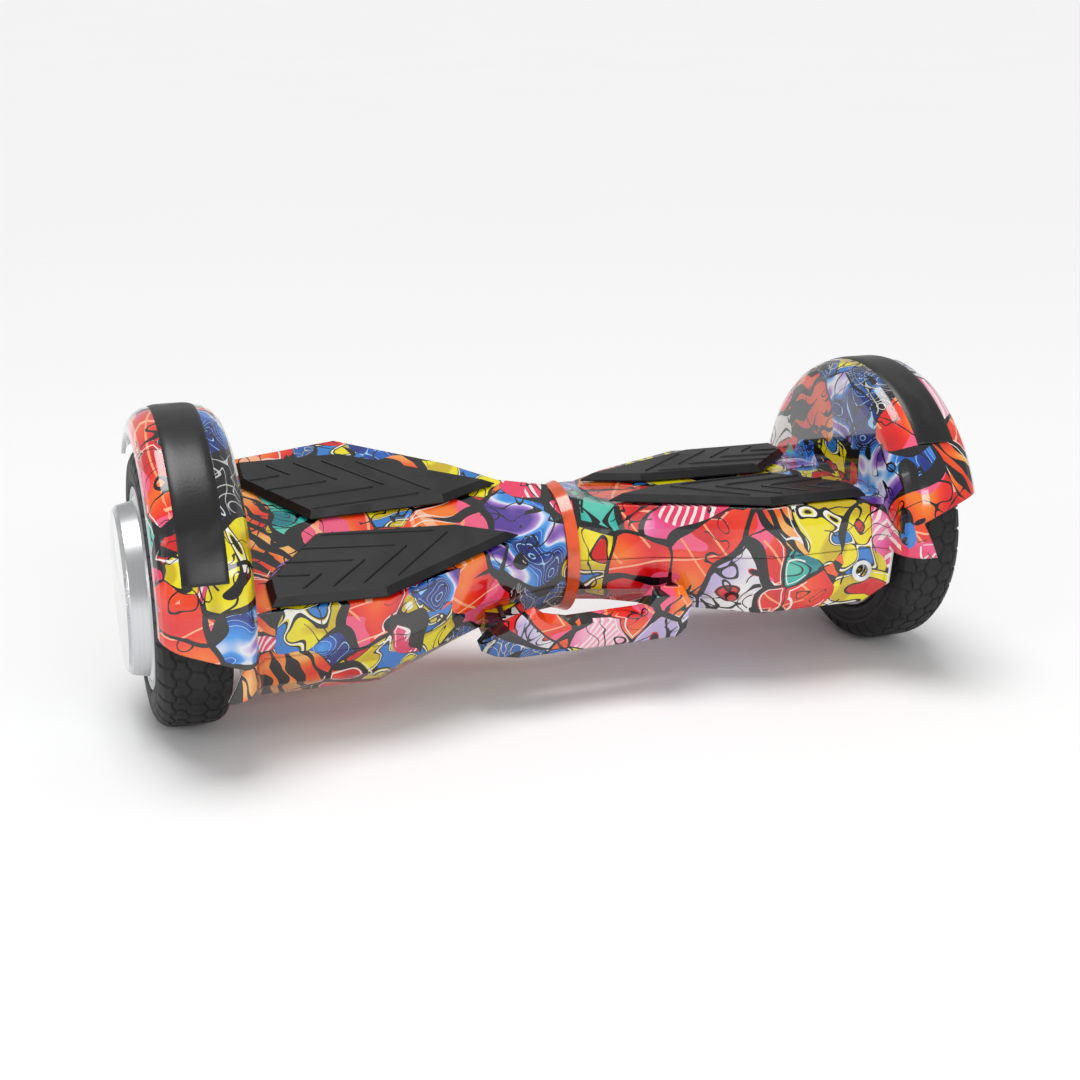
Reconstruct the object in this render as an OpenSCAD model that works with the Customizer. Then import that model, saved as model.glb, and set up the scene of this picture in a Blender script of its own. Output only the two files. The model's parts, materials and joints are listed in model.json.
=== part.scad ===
// Self balancing board: two foot decks on one axle line, each driven by its own hub-motor wheel.
// Millimetres. The origin is on the floor, straight under the middle of the axle line.
// X runs along the axle, -Y is the side with the charging inlet, Z is up.
// Each half is drawn level about the axle line with +X outboard, then mirrored and tilted into place.

/* [Wheels] */
// Outer radius of a tyre
tyre_r = 100; // [92:1:110]
// Width of a tyre
tyre_w = 51.4; // [44:0.2:58]
// Distance from the middle of the board to the middle of a wheel
wheel_x = 278.3; // [262:0.1:296]
// Radius of the rim where the tyre seats
rim_r = 68; // [64:0.5:72]
// Thickness of the rim wall
rim_wall = 5; // [4:0.5:6]
// Radius of the wheel axle
axle_r = 8; // [7:0.25:10]
// How far the hub cap stands out past the tyre
cap_proud = 14.8; // [8:0.2:22]
// Radius of the hub cap at its outer end
cap_end_r = 58.4; // [50:0.2:62]

/* [Decks] */
// Angle of the left half about the axle line, front edge down
left_tilt = 23; // [0:1:24]
// Angle of the right half about the axle line, front edge down
right_tilt = 0; // [-2:1:2]
// Height of the deck above the axle line
deck_z = 39; // [34:1:46]
// Depth of the belly below the axle line
belly_z = 46; // [42:1:52]
// Width of the deck from the axle line to its front edge
front_w = 83; // [78:1:96]
// Width of the deck from the axle line to its rear edge, at its widest
rear_w = 103; // [92:1:112]
// Half height of the waist where the halves meet
waist_r = 46; // [43:1:50]
// Thickness of the shell walls
shell_wall = 2.6; // [2:0.1:3.4]
// Height above the axle line at which the upper and lower shells meet
split_z = 2; // [0:0.5:4]

/* [Fenders] */
// Outer radius of a fender over its wheel
fender_r = 127; // [122:0.5:136]
// Radius of the fender's outer lip
lip_r = 110; // [106:0.5:116]
// Height of the fender's cut edge above the axle line, as an angle at the strip
fender_end = 14; // [10:1:22]
// Slope of the fender's cut edge towards the outside
fender_slant = 22; // [10:1:30]
// Angle above the axle line at which the bumper strip ends
strip_end = 40; // [25:1:55]
// Width of the bumper strip
strip_w = 31; // [22:1:34]
// Thickness of the bumper strip
strip_t = 1.5; // [1:0.1:2.5]

/* [Foot mats] */
// Height of a mat's upper face above the deck
mat_h = 7; // [6:0.5:10]
// Free travel of a mat onto its foot switches
mat_travel = 1.2; // [0.8:0.1:1.6]
// Width of the sloping edge round a mat
mat_bevel = 4; // [2:0.5:6]
// Radius of a mat's plungers
plunger_r = 5; // [3.5:0.5:6]

/* [Middle joint] */
// Outer radius of the tube that joins the halves
tube_r = 17; // [15:0.5:19]
// Wall of the joining tube
tube_wall = 5; // [3:0.5:6]
// Thickness of the bushes that the tube turns in
bush_wall = 3; // [2:0.5:4]
// Angle that the halves may twist each way from level with each other
twist_limit = 23; // [15:1:25]
// Radius of the pin that limits the twist
pin_r = 3; // [2:0.5:4]

/* [Handle] */
// Depth of the handle bar, front to back
handle_t = 12; // [9:0.5:15]
// Height of the handle bar
handle_h = 26; // [20:1:30]
// Room for fingers between the bar and the waist
finger_gap = 20; // [18:1:26]

/* [Electrics] */
// Radius of the charging inlet's body
port_r = 6.5; // [5.5:0.25:8]
// Radius of the power button
button_r = 3.4; // [2.5:0.1:4.5]
// Travel of the power button
button_travel = 1; // [0.5:0.1:1.5]
// Length of the battery pack
battery_l = 108; // [90:1:112]
// Width of the battery pack
battery_w = 72; // [60:1:76]
// Height of the battery pack
battery_h = 36; // [30:1:38]

/* [Hidden] */
$fn = 96;
eps = 0.01;
run_gap = 0.05;      // radial clearance of a running fit
clear = 0.5;         // clearance between pieces that move past each other
seam = 0.4;          // open line between the upper and the lower shell
half_tyre = tyre_w / 2;
wheel_in = wheel_x - half_tyre;
wheel_out = wheel_x + half_tyre;
wall_x = wheel_in - 10;              // outboard end of a half's body
fender_wall = 3;
strip_x = wheel_x - 5.1;             // middle of the bumper strip
collar_w = 8.5;                      // width of the coloured joint collar
collar_r = waist_r + 4;
left_start = 0.4;                    // where the left shells begin, out from the middle
right_start = left_start + collar_w + 0.4;
mat_gap = mat_travel + 0.3;
plate_z = 10;                        // underside of the frame's plate
plate_t = 4;
plate_w = 80;
rib_t = 3;
board_t = 1.6;
sensor_z = 24;
switch_h = 2.4;
boss_r = tube_r + bush_wall + 6;
boss_l = 46;
boss_x = 14;
plate_x = boss_x + 22;               // inboard edge of the frame's plate
tube_end = boss_x + boss_l + 3;
bush_l = 10;
board_posts = [100, 190];
post_y = 34;
board_z = -24;                       // upper face of the main board
battery_x = 94;
sensor_posts = [118, 196];
pin_x = boss_x + boss_l / 2;
pin_out = boss_r + 3;
slot_half = twist_limit + asin(pin_r / tube_r) + 2;
seat_x = wall_x - 36;                // inboard end of the axle seat
seat_l = 32;
seat_w = 40;
clamp_h = 15;
bolt_r = 2.5;
screw_r = 2;
head_r = 4;
stator_r = 52;
core_r = 34;
tooth_w = 3.2;
magnet_t = 5;
rotor_r = rim_r - rim_wall;
teeth = 27;
poles = 30;
bearing_w = 7;
bearing_t = 7;
cap_x = wheel_out + cap_proud;       // outer end of the hub cap
cap_base_r = rim_r - 1.6;
cap_base_x = wheel_out - 4.6;
cap_wall = 2;
handle_y = waist_r + 5 + finger_gap; // rear face of the handle bar
handle_z = -17;                      // middle height of the handle bar
handle_in = 87;                      // reach of the handle's free end past the middle
port_at = [wall_x - 20, -front_w - 2.5, -16];
button_top = 2.4;                    // button's face, along its own axis
button_l = 6.4;
port_seat = -0.3;                    // seat of the inlet's ring, along its own axis
button_at = [122, -71.6, -30];
button_turn = [32, 0, -20];
screw_spots = [[108, -52], [108, 60], [214, -64], [214, 68]];
plunger_x = [130, 188];
plunger_y = 26;

// ---------------------------------------------------------------- placing

module left() translate([0, 0, tyre_r]) rotate([left_tilt, 0, 0]) mirror([1, 0, 0]) children();
module right() translate([0, 0, tyre_r]) rotate([right_tilt, 0, 0]) children();

// Turns a shape drawn about Z so that its axis lies along X, starting at x = 0.
module along_x(x = 0) translate([x, 0, 0]) rotate([0, 90, 0]) children();

// A ring about the axle line, from radius a to radius b and from x0 to x1.
module ring(a, b, x0, x1)
    along_x(x0) rotate_extrude() translate([a, 0]) square([b - a, x1 - x0]);

// A turned sector of a profile of [radius, x] points, over the top between two end angles.
module sector(points, low)
    rotate([0, 90, 0]) rotate([0, 0, 90 + low]) rotate_extrude(angle = 180 - 2 * low)
        polygon(points);

// ---------------------------------------------------------------- body form

// Half of one cross section as [reach, height] pairs from the deck edge down to the belly edge.
function side(top, mid, low, z_top, z_low) = [
    [top, z_top], [(top + 2 * mid) / 3, z_top * 0.6], [mid, split_z],
    [mid - 4, -z_low * 0.6], [low, -z_low]
];

// Cross sections along a half: [x, front side, rear side].
function stations(start) = [
    [start, side(20, waist_r + 1, 22, waist_r - 1.5, waist_r - 10),
        side(20, waist_r + 1, 22, waist_r - 1.5, waist_r - 10)],
    [34, side(34, waist_r + 6, 28, deck_z, waist_r - 9),
        side(38, waist_r + 10, 32, deck_z, waist_r - 9)],
    [66, side(48, waist_r + 12, 40, deck_z, belly_z - 6),
        side(62, waist_r + 26, 52, deck_z, belly_z - 6)],
    [146, side(front_w, front_w + 5, front_w - 9, deck_z, belly_z),
        side(rear_w, rear_w + 4, rear_w - 17, deck_z, belly_z)],
    [wall_x - 11, side(front_w, front_w + 5, front_w - 9, deck_z, belly_z),
        side(front_w + 5, front_w + 10, front_w - 5, deck_z, belly_z)],
    [wall_x, side(front_w, front_w + 16, front_w - 10, deck_z, belly_z - 4),
        side(front_w + 5, front_w + 16, front_w - 8, deck_z, belly_z - 4)]
];

// Moves a side's points inwards by a wall t, all of them in y and the end ones in z.
function shrink(s, t) = [
    for (i = [0 : len(s) - 1])
        [s[i][0] - t, s[i][1] - (i == 0 ? t : i == len(s) - 1 ? -t : 0)]
];

function outline(st, t) = let (f = shrink(st[1], t), r = shrink(st[2], t), n = len(f)) concat(
    [for (i = [0 : n - 1]) [-f[i][0], f[i][1]]],
    [for (i = [n - 1 : -1 : 0]) [r[i][0], r[i][1]]]
);

// A skin through the stations, closed at both ends, pulled in by t and longer by grow at the waist.
module loft(start, t, grow, finish) {
    st = stations(start);
    last = len(st) - 1;
    xs = [for (i = [0 : last]) i == 0 ? start - grow : i == last ? st[i][0] - finish : st[i][0]];
    loops = [for (i = [0 : last]) [for (p = outline(st[i], t)) [xs[i], p[0], p[1]]]];
    m = len(loops[0]);
    points = [for (l = loops) for (p = l) p];
    skin = [
        for (i = [0 : last - 1]) for (j = [0 : m - 1])
            let (a = i * m + j, b = i * m + (j + 1) % m)
                for (f = [[b, a, a + m], [b, a + m, b + m]]) f
    ];
    ends = [[for (j = [0 : m - 1]) j], [for (j = [m - 1 : -1 : 0]) last * m + j]];
    polyhedron(points, concat(skin, ends), convexity = 6);
}

module above_split() translate([-20, -200, split_z]) cube([400, 400, 200]);
module below_split() translate([-20, -200, split_z - seam - 200]) cube([400, 400, 200]);

// ---------------------------------------------------------------- shells

// A quarter turn of a shoulder from [r0, x0], first outwards and then along the axle line.
function shoulder(r0, x0, dr, dx) = [
    for (t = [0 : 18 : 90]) [r0 + dr * sin(t), x0 + dx * (1 - cos(t))]
];

function back(list) = [for (i = [len(list) - 1 : -1 : 0]) list[i]];

// The fender and the end wall in one turned profile of [radius, x] points.
band_in = strip_x - strip_w / 2;
band_out = strip_x + strip_w / 2;
lip_x = wheel_out + 0.4;
fender_profile = concat(
    [[axle_r + 3, wall_x - fender_wall]],
    shoulder(lip_r - 2, wall_x - fender_wall, fender_r - lip_r + 2, band_in - wall_x + fender_wall),
    back(shoulder(lip_r, lip_x, fender_r - lip_r, band_out - lip_x)),
    shoulder(lip_r, lip_x - fender_wall, fender_r - fender_wall - lip_r, band_out - 1 - lip_x + fender_wall),
    back(shoulder(lip_r - 5, wall_x + 0.4, fender_r - fender_wall - lip_r + 5, band_in + 0.6 - wall_x)),
    [[axle_r + 3, wall_x + 0.4]]
);

// Takes the fender's lower corner off along a slanting line at the front.
module fender_corner()
    rotate([-fender_end, 0, 0]) translate([band_in, 0, 0])
        rotate([0, -fender_slant, 0]) translate([-6, -170, -120]) cube([90, 170, 120]);

module fender() difference() {
    sector(fender_profile, 0);
    fender_corner();
    mirror([0, 1, 0]) fender_corner();
}

// Screw posts of radius r that reach through a half's whole height.
module posts(r) for (s = screw_spots) translate([s[0], s[1], -belly_z]) cylinder(r = r, h = belly_z + deck_z + 10);

// A half's hollow skin with its screw posts, before it is parted into an upper and a lower shell.
module hull_skin(start, post_r) {
    difference() {
        loft(start, 0, 0, 0);
        loft(start, shell_wall, 5, shell_wall);
    }
    intersection() {
        loft(start, 0.5, 0, 0);
        posts(post_r);
    }
}

module top_shell(start) color("orangered") difference() {
    intersection() {
        union() {
            hull_skin(start, 5);
            fender();
        }
        above_split();
    }
    along_x(wall_x - 20) cylinder(r = axle_r + 6, h = 40);
    for (s = screw_spots) translate([s[0], s[1], split_z - 1]) cylinder(r = screw_r, h = 20);
    for (x = plunger_x) for (y = [-plunger_y, plunger_y])
        translate([x, y, sensor_z]) cylinder(r = plunger_r + 1, h = deck_z);
}

module bottom_screw_holes() for (s = screw_spots) translate([s[0], s[1], 0]) {
    translate([0, 0, -belly_z - 10]) cylinder(r = head_r + 0.4, h = belly_z + 4);
    translate([0, 0, -7]) cylinder(r = screw_r + 0.2, h = 20);
}

module bottom_shell(start) color("gold") difference() {
    intersection() {
        hull_skin(start, head_r + 3);
        below_split();
    }
    bottom_screw_holes();
    along_x(wall_x - 20) cylinder(r = axle_r + 6, h = 40);
}

// The hole for the charging inlet, with a flat seat for its bright ring.
module port_hole() translate(port_at) rotate([90, 0, 0]) {
    cylinder(r = port_r + 0.1, h = 60, center = true);
    translate([0, 0, port_seat]) cylinder(r = port_r + 2, h = 10);
}

module button_hole() translate(button_at) rotate(button_turn) rotate([90, 0, 0])
    cylinder(r = button_r + 2, h = 24, center = true);

module right_bottom() color("gold") difference() {
    bottom_shell(right_start);
    port_hole();
    button_hole();
}

module left_bottom() color("gold") difference() {
    bottom_shell(left_start);
    handle_bores(screw_r + 0.2);
}

module bumper_strip() color("#222222")
    sector([[fender_r, band_in], [fender_r + strip_t, band_in],
        [fender_r + strip_t, band_out], [fender_r, band_out]], strip_end);

// ---------------------------------------------------------------- frames and middle joint

module frame(bore) color("silver") difference() {
    union() {
        translate([plate_x, -plate_w / 2, plate_z]) cube([seat_x + seat_l - plate_x, plate_w, plate_t]);
        for (side = [-1, 1]) translate([80, side * (plate_w - rib_t) / 2 - rib_t / 2, plate_z])
            cube([seat_x - 80, rib_t, deck_z - shell_wall - plate_z - 0.5]);
        along_x(boss_x) cylinder(r = boss_r, h = boss_l);
        translate([seat_x, -seat_w / 2, 0]) cube([seat_l, seat_w, plate_z + 1]);
        for (x = sensor_posts) for (y = [-12, 12]) translate([x, y, plate_z + 1])
            cylinder(r = 3, h = sensor_z - plate_z - 1);
    }
    along_x(boss_x - 1) cylinder(r = bore, h = boss_l + 2);
    along_x(boss_x + boss_l) cylinder(r = tube_r + bush_wall + 3, h = 6);
    along_x(seat_x - 1) cylinder(r = axle_r, h = seat_l + 2);
    for (x = [seat_x + 8, seat_x + seat_l - 8]) for (y = [-15, 15]) translate([x, y, -1])
        cylinder(r = bolt_r, h = plate_z);
}

module left_frame() color("silver") difference() {
    frame(tube_r);
    translate([pin_x, 0, 0]) cylinder(r = pin_r, h = pin_out + 20);
}

// The right frame's boss carries the bushes, and a slot that lets the twist pin swing.
module twist_slot() rotate([0, 90, 0]) rotate([0, 0, 180 - slot_half]) translate([0, 0, pin_x - pin_r - clear])
    rotate_extrude(angle = 2 * slot_half) translate([tube_r - 1, 0])
        square([boss_r - tube_r + 3, 2 * (pin_r + clear)]);

module right_frame() color("silver") difference() {
    union() {
        frame(tube_r + bush_wall);
        for (x = board_posts) for (y = [-post_y, post_y]) translate([x, y, board_z])
            cylinder(r = 3.5, h = plate_z + 0.5 - board_z);
    }
    for (x = board_posts) for (y = [-post_y, post_y]) translate([x, y, board_z - 1]) cylinder(r = 1.5, h = 12);
    twist_slot();
}

module joint_tube() color("silver") difference() {
    translate([-tube_end, 0, 0]) along_x(0) cylinder(r = tube_r, h = 2 * tube_end);
    translate([-tube_end - 1, 0, 0]) along_x(0) cylinder(r = tube_r - tube_wall, h = 2 * tube_end + 2);
    for (x = [-pin_x, pin_x]) translate([x, 0, 0]) cylinder(r = pin_r, h = 40);
    difference() {
        ring(tube_r - 1.5, tube_r + 1, -tube_end + 1, -tube_end + 2.2);
        ring(0, tube_r - 1.5, -tube_end, -tube_end + 3);
    }
}

module joint_bushes() color("goldenrod") for (x = [boss_x, boss_x + boss_l - bush_l])
    ring(tube_r + run_gap, tube_r + bush_wall, x, x + bush_l);

module joint_clip() color("dimgray")
    ring(tube_r - 1.5, tube_r + bush_wall + 2, -tube_end + 1, -tube_end + 2.2);

// The pin that swings in the right boss and stops the twist, and the pin that locks the left end.
module tube_pin(x) color("dimgray") translate([x, 0, tube_r - tube_wall])
    cylinder(r = pin_r, h = pin_out - tube_r + tube_wall);

module joint_collar() color("orangered") along_x(0) rotate_extrude()
    polygon([[tube_r + bush_wall + 8, 0], [collar_r - 3, 0], [collar_r, collar_w],
        [collar_r - 4, collar_w], [collar_r - 7, 3], [tube_r + bush_wall + 8, 3]]);

// ---------------------------------------------------------------- wheels

module tyre() color("#1c1c1c") along_x(wheel_x) rotate_extrude() polygon([
    [rim_r, -half_tyre + 3.7], [rim_r + 4.6, -half_tyre + 3.7], [rim_r + 8, -half_tyre],
    [tyre_r - 11, -half_tyre], [tyre_r - 3, -half_tyre + 4], [tyre_r, -half_tyre + 10],
    [tyre_r, half_tyre - 10], [tyre_r - 3, half_tyre - 4], [tyre_r - 11, half_tyre],
    [rim_r + 8, half_tyre], [rim_r + 4.6, half_tyre - 3.7], [rim_r, half_tyre - 3.7]
]);

rim_half = half_tyre - 1;
cap_seat = cap_base_x - wheel_x;

module rim() color("lightgray") difference() {
    along_x(wheel_x) rotate_extrude() polygon([
        [rotor_r, -rim_half], [rim_r + 4, -rim_half], [rim_r + 4, 3.7 - half_tyre],
        [rim_r, 3.7 - half_tyre], [rim_r, half_tyre - 3.7], [rim_r + 4, half_tyre - 3.7],
        [rim_r + 4, rim_half], [cap_base_r, rim_half], [cap_base_r, cap_seat], [rotor_r, cap_seat],
        [rotor_r, rim_half - 4],
        [axle_r + bearing_t, rim_half - 4], [axle_r + bearing_t, rim_half - 4 - bearing_w - 1],
        [axle_r + bearing_t + 6, rim_half - 4 - bearing_w - 1],
        [axle_r + bearing_t + 10, rim_half - 8], [rotor_r, rim_half - 8]
    ]);
    cover_screw_ring(1.6, 14, wheel_x - rim_half - 1);
}

module cover_screw_ring(r, h, x) for (i = [0 : 5]) rotate([i * 60, 0, 0])
    translate([x, 0, rotor_r + 2.5]) rotate([0, 90, 0]) cylinder(r = r, h = h);

cover_x = wheel_x - rim_half - 3;

module motor_cover() color("silver") difference() {
    along_x(cover_x) rotate_extrude() polygon([
        [axle_r + bearing_t, 0], [rim_r + 1, 0], [rim_r + 1, 3], [rotor_r, 3], [rotor_r, 6],
        [axle_r + bearing_t + 6, 6], [axle_r + bearing_t + 4, 9], [axle_r + bearing_t, 9]
    ]);
    cover_screw_ring(1.8, 20, cover_x - 1);
}

module cover_screws() color("dimgray") {
    cover_screw_ring(1.6, 13, cover_x - 1);
    for (i = [0 : 5]) rotate([i * 60, 0, 0]) translate([cover_x - 1.6, 0, rotor_r + 2.5])
        rotate([0, 90, 0]) cylinder(r = 2.8, h = 1.6);
}

module magnets() color("gray") for (i = [0 : poles - 1]) rotate([i * 360 / poles, 0, 0])
    translate([wheel_x - 11, -5, rotor_r - magnet_t]) intersection() {
        cube([22, 10, magnet_t + 1]);
        translate([-wheel_x + 11, 5, -rotor_r + magnet_t]) along_x(wheel_x - 12)
            cylinder(r = rotor_r, h = 26);
    }

// The core: a back ring, the teeth, and the shoes on the teeth's ends.
module stator() color("darkslategray") {
    ring(axle_r + 2, core_r, wheel_x - 10, wheel_x + 10);
    for (i = [0 : teeth - 1]) rotate([i * 360 / teeth, 0, 0]) {
        translate([wheel_x - 9.6, -tooth_w / 2, core_r - 3]) cube([19.2, tooth_w, stator_r - core_r + 3]);
        translate([wheel_x - 9.2, -4.8, stator_r - 1.2]) cube([18.4, 9.6, 3.7]);
    }
}

module windings() color("#b5651d") for (i = [0 : teeth - 1]) rotate([i * 360 / teeth, 0, 0])
    difference() {
        translate([wheel_x - 13, -3.2, 35.5]) cube([26, 6.4, stator_r - 37.5]);
        translate([wheel_x - 10, -1.6, 30]) cube([20, 3.2, 30]);
    }

module axle() color("gainsboro") {
    along_x(seat_x - 4) cylinder(r = axle_r, h = wheel_x + rim_half - 3 - seat_x + 4);
    ring(axle_r - eps, axle_r + 2, wheel_x - 12, wheel_x + 8);
}

module bearings() color("#c8c8d0") {
    ring(axle_r + run_gap, axle_r + bearing_t, cover_x + 1.5, cover_x + 1.5 + bearing_w);
    ring(axle_r + run_gap, axle_r + bearing_t, wheel_x + rim_half - 12, wheel_x + rim_half - 5);
}

module hub_cap() color("whitesmoke") along_x(0) rotate_extrude() polygon([
    [cap_base_r, cap_base_x], [cap_base_r, cap_base_x + 3], [cap_end_r + 4, cap_base_x + 5],
    [cap_end_r + 1.5, cap_x - 3], [cap_end_r - 1.5, cap_x], [0, cap_x], [0, cap_x - cap_wall],
    [cap_end_r - 2.5, cap_x - cap_wall], [cap_end_r - 0.5, cap_x - 4], [cap_end_r + 1, cap_base_x + 4],
    [rotor_r + 0.5, cap_base_x]
]);

// ---------------------------------------------------------------- axle fixing

module axle_clamp() color("silver") difference() {
    translate([seat_x, -seat_w / 2, -clamp_h]) cube([seat_l, seat_w, clamp_h]);
    along_x(seat_x - 1) cylinder(r = axle_r, h = seat_l + 2);
    for (x = [seat_x + 8, seat_x + seat_l - 8]) for (y = [-15, 15])
        translate([x, y, -clamp_h - 1]) cylinder(r = bolt_r + 0.1, h = clamp_h + 2);
}

module clamp_bolts() color("dimgray") for (x = [seat_x + 8, seat_x + seat_l - 8])
    for (y = [-15, 15]) translate([x, y, 0]) {
        translate([0, 0, -clamp_h - 1]) cylinder(r = bolt_r, h = clamp_h + plate_z - 1);
        translate([0, 0, -clamp_h - 4]) cylinder(r = 4.2, h = 4);
    }

// ---------------------------------------------------------------- foot mats and sensing

mat_outline = [[wall_x - 16, 80], [wall_x - 16, 55], [183, 9], [82, 14], [38, 31], [147, front_w - 2]];

// The rear mat, with bevelled edges and two plungers.
module rear_mat() color("#262626") {
    hull() {
        translate([0, 0, deck_z + mat_gap]) linear_extrude(1) polygon(mat_outline);
        translate([0, 0, deck_z + mat_h - 1]) linear_extrude(1) offset(delta = -mat_bevel)
            polygon(mat_outline);
    }
    for (x = plunger_x) translate([x, plunger_y, sensor_z + board_t + switch_h + mat_travel + 0.3])
        cylinder(r = plunger_r, h = deck_z - sensor_z);
}

module front_mat() mirror([0, 1, 0]) rear_mat();

module sensor_board() color("darkgreen")
    translate([112, -34, sensor_z]) cube([92, 68, board_t]);

module foot_switches() color("#303030") for (x = plunger_x) for (y = [-plunger_y, plunger_y])
    translate([x - 3, y - 3, sensor_z + board_t]) cube([6, 6, switch_h]);

module shell_screws() color("dimgray") for (s = screw_spots) translate([s[0], s[1], 0]) {
    translate([0, 0, -9]) cylinder(r = head_r, h = 3);
    translate([0, 0, -6.5]) cylinder(r = screw_r, h = 22);
}

// ---------------------------------------------------------------- electrics

module battery_pack() color("#2f5fa8")
    translate([battery_x, -battery_w / 2, plate_z - battery_h]) cube([battery_l, battery_w, battery_h]);

module battery_strap() color("#202020") difference() {
    translate([140, -battery_w / 2 - 1.5, plate_z - battery_h - 1.5])
        cube([20, battery_w + 3, battery_h + 1.5]);
    translate([139, -battery_w / 2, plate_z - battery_h]) cube([22, battery_w, battery_h + 1]);
}

module main_board() color("darkgreen") difference() {
    translate([battery_x, -plate_w / 2, board_z - board_t]) cube([102, plate_w, board_t]);
    for (x = board_posts) for (y = [-post_y, post_y]) translate([x, y, board_z - 6]) cylinder(r = 1.7, h = 10);
}

module main_board_screws() color("dimgray") for (x = board_posts) for (y = [-post_y, post_y])
    translate([x, y, board_z - board_t]) {
        cylinder(r = 1.5, h = board_t + 8);
        translate([0, 0, -1.5]) cylinder(r = 3, h = 1.5);
    }

module charge_port() color("gainsboro") translate(port_at) rotate([90, 0, 0]) difference() {
    union() {
        translate([0, 0, -16]) cylinder(r = port_r, h = 17);
        translate([0, 0, port_seat]) cylinder(r = port_r + 1.8, h = 2.4 - port_seat);
    }
    translate([0, 0, -4]) cylinder(r = port_r - 1.4, h = 20);
    translate([0, 0, -10]) cylinder(r = port_r - 1.9, h = 20);
    port_pins(0.81);
}

module port_pins(r) for (i = [0 : 2]) rotate([0, 0, 90 + i * 120]) translate([2.6, 0, -18])
    cylinder(r = r, h = 13.6);

module charge_port_pins() color("gold") translate(port_at) rotate([90, 0, 0]) port_pins(0.8);

module charge_port_nut() color("#404040") translate(port_at) rotate([90, 0, 0])
    translate([0, 0, -8]) difference() {
        cylinder(r = port_r + 3, h = 3, $fn = 6);
        translate([0, 0, -1]) cylinder(r = port_r, h = 5);
    }

module on_button_axis() translate(button_at) rotate(button_turn) rotate([90, 0, 0]) children();

module power_button() color("red") on_button_axis()
    translate([0, 0, button_top - button_l]) cylinder(r = button_r, h = button_l);

module button_housing() color("#202020") on_button_axis() difference() {
    translate([0, 0, -10]) cylinder(r = button_r + 1.9, h = 10 + button_top - button_travel - 0.2);
    translate([0, 0, button_top - button_l - button_travel - clear]) cylinder(r = button_r + 0.3, h = 20);
}

// ---------------------------------------------------------------- handle, fixed to the left half

// The bar seen from the front, in the left half's own frame, where -x lies past the middle.
handle_face = [
    [66, handle_z + 8], [74, handle_z - 4], [62, handle_z - handle_h / 2 + 2],
    [44, handle_z - handle_h / 2 - 2], [-handle_in + 6, handle_z - handle_h / 2],
    [-handle_in, handle_z - handle_h / 2 + 8], [-handle_in, handle_z + handle_h / 2 + 8],
    [-handle_in + 5, handle_z + handle_h / 2 + 15], [-handle_in + 30, handle_z + handle_h / 2 + 17],
    [-48, handle_z + handle_h / 2], [8, handle_z + handle_h / 2 - 2],
    [26, handle_z + handle_h / 2 + 3], [34, handle_z + handle_h / 2 + 10]
];

module handle_bores(r) for (z = [handle_z, handle_z + 11]) translate([54, -handle_y + 12, z])
    rotate([90, 0, 0]) cylinder(r = r, h = 44, center = true);

module carry_handle() color("darkorange") difference() {
    union() {
        translate([0, -handle_y, 0]) rotate([90, 0, 0]) linear_extrude(handle_t)
            polygon(handle_face);
        translate([36, -handle_y - 1, handle_z - handle_h / 2 + 2]) cube([30, finger_gap + 8, handle_h - 4]);
    }
    loft(left_start, -0.05, 1, 0);
    translate([0, handle_t + 2, 0]) handle_bores(screw_r);
}

module handle_screws() color("dimgray") for (z = [handle_z, handle_z + 11])
    translate([54, -waist_r + 1, z]) rotate([90, 0, 0]) {
        cylinder(r = head_r, h = 3);
        cylinder(r = screw_r, h = finger_gap + 1);
    }

// ---------------------------------------------------------------- the nodes

left() top_shell(left_start);  // left_top_shell
right() top_shell(right_start);  // right_top_shell
left() left_bottom();  // left_bottom_shell
right() right_bottom();  // right_bottom_shell
left() left_frame();
right() right_frame();
left() bumper_strip();  // left_bumper_strip
right() bumper_strip();  // right_bumper_strip
left() tyre();  // left_tyre
right() tyre();  // right_tyre
left() rim();  // left_rim
right() rim();  // right_rim
left() motor_cover();  // left_motor_cover
right() motor_cover();  // right_motor_cover
left() cover_screws();  // left_cover_screws
right() cover_screws();  // right_cover_screws
left() magnets();  // left_magnets
right() magnets();  // right_magnets
left() stator();  // left_stator
right() stator();  // right_stator
left() windings();  // left_windings
right() windings();  // right_windings
left() axle();  // left_axle
right() axle();  // right_axle
left() bearings();  // left_bearings
right() bearings();  // right_bearings
left() hub_cap();  // left_hub_cap
right() hub_cap();  // right_hub_cap
left() axle_clamp();  // left_axle_clamp
right() axle_clamp();  // right_axle_clamp
left() clamp_bolts();  // left_clamp_bolts
right() clamp_bolts();  // right_clamp_bolts
left() front_mat();  // left_front_mat
right() front_mat();  // right_front_mat
left() rear_mat();  // left_rear_mat
right() rear_mat();  // right_rear_mat
left() sensor_board();  // left_sensor_board
right() sensor_board();  // right_sensor_board
left() foot_switches();  // left_foot_switches
right() foot_switches();  // right_foot_switches
left() shell_screws();  // left_shell_screws
right() shell_screws();  // right_shell_screws
left() joint_tube();
right() joint_bushes();
left() joint_clip();
left() tube_pin(-pin_x);  // twist_pin
left() tube_pin(pin_x);  // lock_pin
right() joint_collar();
left() battery_pack();
left() battery_strap();
right() main_board();
right() main_board_screws();
right() charge_port();
right() charge_port_pins();
right() charge_port_nut();
right() power_button();
right() button_housing();
left() carry_handle();
left() handle_screws();
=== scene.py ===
"""Looks of a self balancing board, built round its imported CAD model."""

import json
import logging
import math
from dataclasses import dataclass, field
from enum import Enum
from typing import Any, Sequence

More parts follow.
